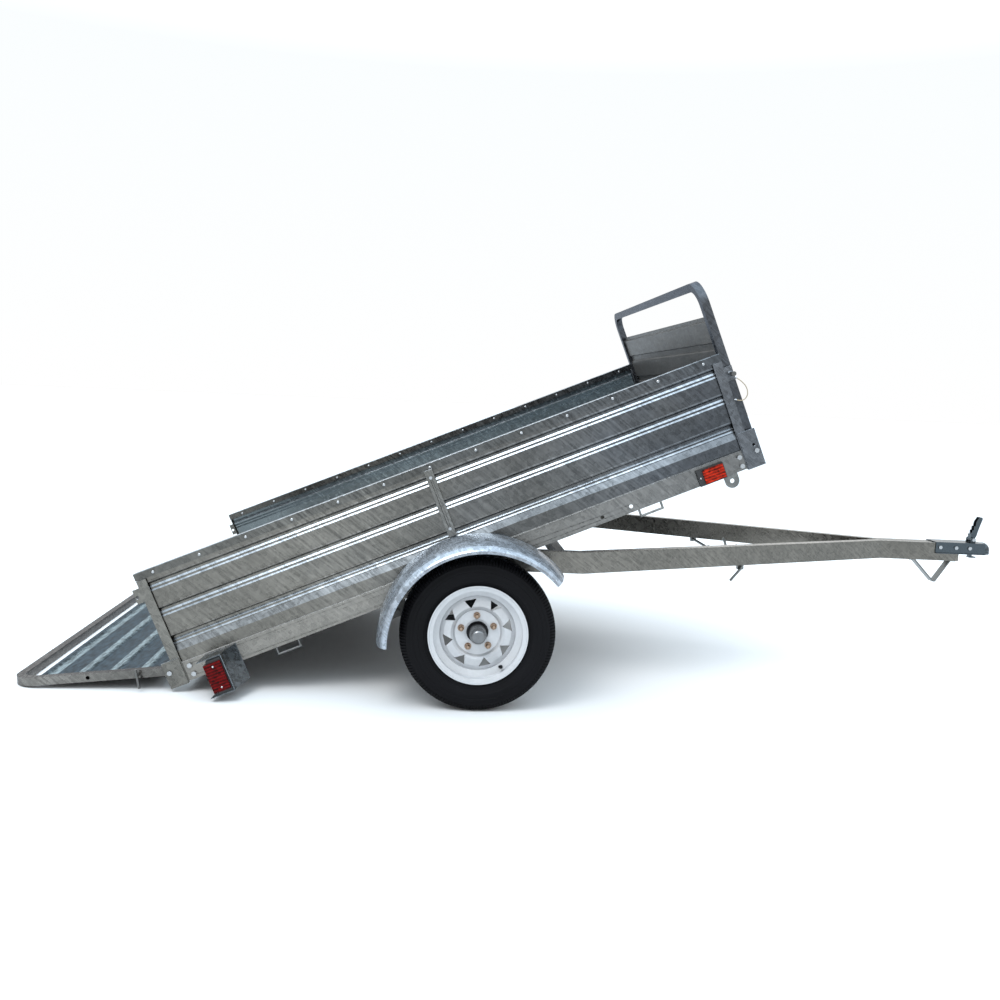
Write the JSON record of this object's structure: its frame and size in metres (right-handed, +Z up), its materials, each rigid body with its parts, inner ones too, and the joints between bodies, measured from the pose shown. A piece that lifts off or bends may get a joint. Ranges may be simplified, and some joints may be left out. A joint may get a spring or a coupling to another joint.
{
  "type": "tow behind cart",
  "caption": "Galvanized single-axle tow-behind cart with a tilting open bed, folding front gate, rear ramp gate, round fenders and an A-frame tongue with a ball coupler.",
  "frame": {"origin": "on the ground, under the middle of the cart's overall length and width", "axes": "+X forward to the coupler, +Y to the cart's left, +Z up; the bed is stored tipped 22.8 degrees with its ramp gate on the ground"},
  "size_m": [3.8434, 1.96, 1.4661],
  "materials": {
    "galvanized": "hot-dip galvanized sheet, faint spangle, streaked reflections",
    "galvanized_dark": "galvanized, shaded underside, duller",
    "zinc": "bright zinc-plated fasteners and pins",
    "coupler_zinc": "blue-white zinc-plated stamped steel",
    "spring_steel": "oiled dark spring steel",
    "tyre": "matte black tyre rubber with a bias-ply tread",
    "rim": "silver-painted pressed steel wheel",
    "lug": "dull bronze-toned lug nuts",
    "rubber": "black rubber valve stem",
    "lamp_black": "black moulded lamp housing",
    "lens_red": "deep red moulded lens",
    "lens_amber": "red-orange moulded lens",
    "cable": "tan-coated steel lanyard cable"
  },
  "bodies": {
    "bed": {"side_rails": "galvanized", "end_crossmembers": "galvanized_dark", "crossmembers": "galvanized_dark", "floor_sheet": "galvanized", "panel_right": "galvanized", "panel_left": "galvanized", "cap_rails": "galvanized", "corner_posts": "galvanized", "stake_posts": "galvanized", "gate_hinge_plates": "galvanized", "frame_bolts": "zinc", "fender_right": "galvanized", "fender_left": "galvanized", "axle_beam": "galvanized_dark", "springs": "spring_steel", "spring_hangers": "galvanized_dark", "u_bolts": "zinc", "tilt_brackets": "galvanized_dark", "tilt_pivot_pins": "zinc", "lock_keeper": "galvanized", "lift_lugs": "galvanized", "tie_hooks": "galvanized", "tail_brackets": "galvanized", "tail_housings": "lamp_black", "tail_lenses": "lens_red", "marker_housings": "lamp_black", "marker_lenses": "lens_amber", "pin_lanyard": "cable", "gate_hinge_pins": "zinc"},
    "tongue": {"tongue_tubes": "galvanized", "tongue_crossbar": "galvanized", "coupler_body": "coupler_zinc", "coupler_bolts": "zinc", "foot_strap": "galvanized", "lock_brackets": "galvanized"},
    "lock": {"lock_bar": "galvanized"},
    "lever": {"coupler_lever": "coupler_zinc"},
    "clamp": {"ball_clamp": "coupler_zinc"},
    "wheel_right": {"tyre_right": "tyre", "rim_right": "rim", "hub_right": "zinc", "lug_nuts_right": "lug", "valve_right": "rubber"},
    "wheel_left": {"tyre_left": "tyre", "rim_left": "rim", "hub_left": "zinc", "lug_nuts_left": "lug", "valve_left": "rubber"},
    "front_gate": {"front_gate_frame": "galvanized", "front_gate_panel": "galvanized"},
    "rear_gate": {"rear_gate_frame": "galvanized", "rear_gate_panel": "galvanized"},
    "latch_pin_right": {"front_pin_right": "zinc"},
    "latch_pin_left": {"front_pin_left": "zinc"},
    "parked_pin_right": {"parked_pin_right": "zinc"},
    "parked_pin_left": {"parked_pin_left": "zinc"}
  },
  "joints": [
    {"name": "bed_tilt", "type": "hinge", "parent": "bed", "child": "tongue", "pos_m": [-0.19222, 0, 0.471], "axis": [0, -1, 0], "range_deg": [0, 23.45]},
    {"name": "lock_turn", "type": "hinge", "parent": "tongue", "child": "lock", "pos_m": [0.70119, 0, 0.41436], "axis": [0, -1, 0], "range_deg": [0, 95]},
    {"name": "lever_turn", "type": "hinge", "parent": "tongue", "child": "lever", "pos_m": [1.83827, 0, 0.50247], "axis": [0, -1, 0], "range_deg": [0, 95]},
    {"name": "clamp_lift", "type": "slide", "parent": "tongue", "child": "clamp", "axis": [0.0113, 0, 0.9999], "range_m": [0, 0.0051]},
    {"name": "wheel_spin_right", "type": "hinge", "parent": "bed", "child": "wheel_right", "pos_m": [-0.35106, -0.87, 0.2605], "axis": [0, 1, 0], "continuous": true},
    {"name": "wheel_spin_left", "type": "hinge", "parent": "bed", "child": "wheel_left", "pos_m": [-0.35106, 0.87, 0.2605], "axis": [0, 1, 0], "continuous": true},
    {"name": "front_gate_fold", "type": "hinge", "parent": "bed", "child": "front_gate", "pos_m": [0.58894, 0, 0.89646], "axis": [0, 1, 0], "range_deg": [0, 90]},
    {"name": "ramp_gate_fold", "type": "hinge", "parent": "bed", "child": "rear_gate", "pos_m": [-1.38292, 0, 0.06756], "axis": [0, 1, 0], "range_deg": [0, 72.89]},
    {"name": "latch_slide_right", "type": "slide", "parent": "bed", "child": "latch_pin_right", "axis": [0, 1, 0], "range_m": [0, 0.02]},
    {"name": "latch_slide_left", "type": "slide", "parent": "bed", "child": "latch_pin_left", "axis": [0, -1, 0], "range_m": [0, 0.02]},
    {"name": "parked_slide_right", "type": "slide", "parent": "rear_gate", "child": "parked_pin_right", "axis": [0, -1, 0], "range_m": [0, 0.015]},
    {"name": "parked_slide_left", "type": "slide", "parent": "rear_gate", "child": "parked_pin_left", "axis": [0, 1, 0], "range_m": [0, 0.015]}
  ],
  "couplings": [
    {"joint": "clamp_lift", "follows": "lever_turn", "m_per_rad": 0.003016}
  ]
}
